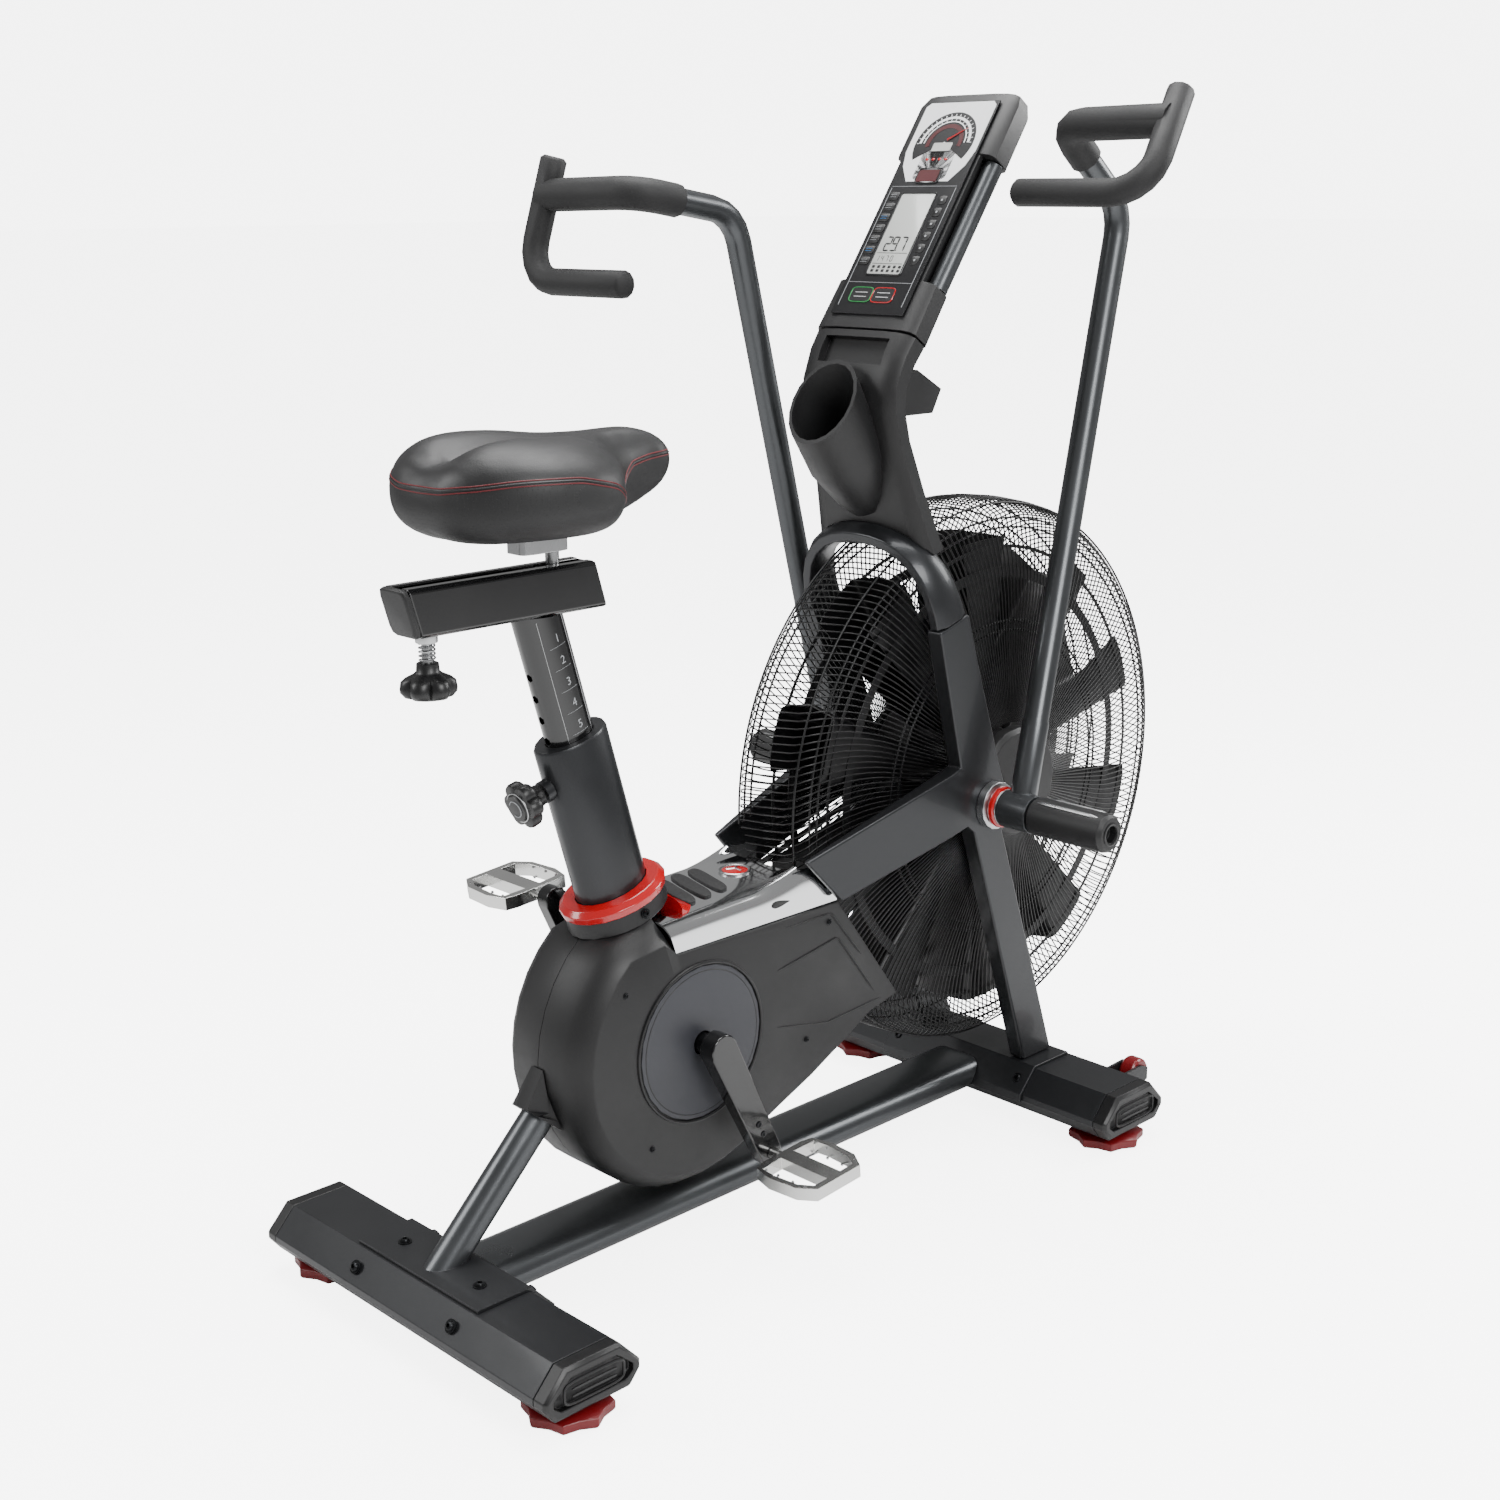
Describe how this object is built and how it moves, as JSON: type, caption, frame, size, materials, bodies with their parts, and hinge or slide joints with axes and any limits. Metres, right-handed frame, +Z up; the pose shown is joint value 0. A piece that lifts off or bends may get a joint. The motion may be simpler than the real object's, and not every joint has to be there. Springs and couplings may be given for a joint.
{
  "type": "air exercise bike",
  "caption": "Upright exercise bike with a caged air-resistance fan, swinging arms, foot pegs, console, padded saddle and adjustable post.",
  "frame": {"origin": "on the floor under the middle of the bike's overall box", "axes": "+X forward towards the fan, +Y to the rider's left, +Z up"},
  "size_m": [1.296, 0.662, 1.3546],
  "materials": {
    "frame_paint": "satin charcoal powder coat",
    "arm_paint": "satin grey",
    "black_plastic": "fine texture",
    "red_plastic": "satin red",
    "grip_rubber": "matte",
    "gloss_black": "gloss",
    "wire_black": "satin",
    "steel": "satin",
    "cast_alloy": "polished",
    "chrome_plastic": "mirror",
    "panel": "printed overlay",
    "key_plastic": "satin"
  },
  "bodies": {
    "frame": {"rear_stabiliser": "frame_paint", "front_stabiliser": "frame_paint", "main_beam": "frame_paint", "rear_strut": "frame_paint", "front_bracket": "frame_paint", "side_frame_left": "frame_paint", "side_frame_right": "frame_paint", "arch": "frame_paint", "seat_tube": "frame_paint", "console_tube_left": "arm_paint", "console_tube_right": "arm_paint", "rear_cap_left": "black_plastic", "rear_cap_right": "black_plastic", "front_cap_left": "black_plastic", "front_cap_right": "black_plastic", "housing_left": "black_plastic", "housing_right": "black_plastic", "neck_cover": "black_plastic", "console_case": "black_plastic", "foot_peg_left": "black_plastic", "foot_peg_right": "black_plastic", "hub_cover_left": "black_plastic", "hub_cover_right": "black_plastic", "disc_cover_left": "black_plastic", "disc_cover_right": "black_plastic", "seat_collar": "red_plastic", "drive_belt": "grip_rubber", "cage_left": "wire_black", "cage_right": "wire_black", "pivot_boss_left": "steel", "pivot_boss_right": "steel", "fan_axle": "steel", "top_cover": "chrome_plastic", "console_face": "panel"},
    "rear_foot_left": {"rear_foot_left": "red_plastic"},
    "rear_foot_right": {"rear_foot_right": "red_plastic"},
    "front_foot_left": {"front_foot_left": "red_plastic"},
    "front_foot_right": {"front_foot_right": "red_plastic"},
    "wheel_left": {"wheel_left": "red_plastic"},
    "wheel_right": {"wheel_right": "red_plastic"},
    "crank": {"crank_spindle": "steel", "crank_left": "gloss_black", "crank_right": "gloss_black"},
    "pedal_left": {"pedal_left": "cast_alloy"},
    "pedal_right": {"pedal_right": "cast_alloy"},
    "fan": {"fan_rotor": "wire_black"},
    "arm_left": {"arm_left": "arm_paint", "grip_left": "grip_rubber"},
    "arm_right": {"arm_right": "arm_paint", "grip_right": "grip_rubber"},
    "post": {"seat_post": "gloss_black", "slider_channel": "gloss_black", "slider_cap": "black_plastic"},
    "saddle": {"saddle_carriage": "steel", "saddle": "grip_rubber"},
    "post_knob": {"post_knob": "black_plastic"},
    "slider_knob": {"slider_knob": "black_plastic"},
    "key_select": {"key_select": "key_plastic"},
    "key_start": {"key_start": "key_plastic"},
    "key_stop": {"key_stop": "key_plastic"}
  },
  "joints": [
    {"name": "crank_spin", "type": "hinge", "parent": "frame", "child": "crank", "pos_m": [-0.2541, 0, 0.275], "axis": [0, 1, 0], "continuous": true},
    {"name": "fan_spin", "type": "hinge", "parent": "frame", "child": "fan", "pos_m": [0.2834, 0, 0.4895], "axis": [0, 1, 0], "continuous": true},
    {"name": "pedal_left_spin", "type": "hinge", "parent": "crank", "child": "pedal_left", "pos_m": [-0.32383, 0.184, 0.42454], "axis": [0, 1, 0], "continuous": true},
    {"name": "pedal_right_spin", "type": "hinge", "parent": "crank", "child": "pedal_right", "pos_m": [-0.18437, -0.184, 0.12546], "axis": [0, 1, 0], "continuous": true},
    {"name": "arm_right_swing", "type": "hinge", "parent": "frame", "child": "arm_right", "pos_m": [0.2139, -0.166, 0.4765], "axis": [0, 1, 0], "range_deg": [-29.5, 0]},
    {"name": "arm_left_swing", "type": "hinge", "parent": "frame", "child": "arm_left", "pos_m": [0.2139, 0.166, 0.4765], "axis": [0, 1, 0], "range_deg": [0, 29.5]},
    {"name": "post_height", "type": "slide", "parent": "frame", "child": "post", "axis": [-0.279, 0, 0.9603], "range_m": [-0.104, 0]},
    {"name": "saddle_fore_aft", "type": "slide", "parent": "post", "child": "saddle", "axis": [1, 0, 0], "range_m": [-0.11, 0.01]},
    {"name": "post_knob_pull", "type": "slide", "parent": "frame", "child": "post_knob", "axis": [-0.9603, 0, -0.279], "range_m": [0, 0.008], "stiffness_N_per_m": 1500},
    {"name": "slider_knob_turn", "type": "hinge", "parent": "post", "child": "slider_knob", "pos_m": [-0.5641, 0, 0.764], "axis": [0, 0, 1], "continuous": true},
    {"name": "wheel_left_spin", "type": "hinge", "parent": "frame", "child": "wheel_left", "pos_m": [0.4334, 0.2, 0.0655], "axis": [0, 1, 0], "continuous": true},
    {"name": "rear_foot_left_turn", "type": "hinge", "parent": "frame", "child": "rear_foot_left", "pos_m": [-0.5831, 0.218, 0], "axis": [0, 0, 1], "continuous": true},
    {"name": "front_foot_left_turn", "type": "hinge", "parent": "frame", "child": "front_foot_left", "pos_m": [0.3509, 0.218, 0], "axis": [0, 0, 1], "continuous": true},
    {"name": "wheel_right_spin", "type": "hinge", "parent": "frame", "child": "wheel_right", "pos_m": [0.4334, -0.2, 0.0655], "axis": [0, 1, 0], "continuous": true},
    {"name": "rear_foot_right_turn", "type": "hinge", "parent": "frame", "child": "rear_foot_right", "pos_m": [-0.5831, -0.218, 0], "axis": [0, 0, 1], "continuous": true},
    {"name": "front_foot_right_turn", "type": "hinge", "parent": "frame", "child": "front_foot_right", "pos_m": [0.3509, -0.218, 0], "axis": [0, 0, 1], "continuous": true},
    {"name": "key_select_press", "type": "slide", "parent": "frame", "child": "key_select", "axis": [0.8192, 0, -0.5736], "range_m": [0, 0.0006], "stiffness_N_per_m": 400},
    {"name": "key_start_press", "type": "slide", "parent": "frame", "child": "key_start", "axis": [0.8192, 0, -0.5736], "range_m": [0, 0.0006], "stiffness_N_per_m": 400},
    {"name": "key_stop_press", "type": "slide", "parent": "frame", "child": "key_stop", "axis": [0.8192, 0, -0.5736], "range_m": [0, 0.0006], "stiffness_N_per_m": 400}
  ],
  "couplings": [
    {"joint": "fan_spin", "follows": "crank_spin", "ratio": 5.5},
    {"joint": "arm_left_swing", "follows": "arm_right_swing", "ratio": -1}
  ]
}
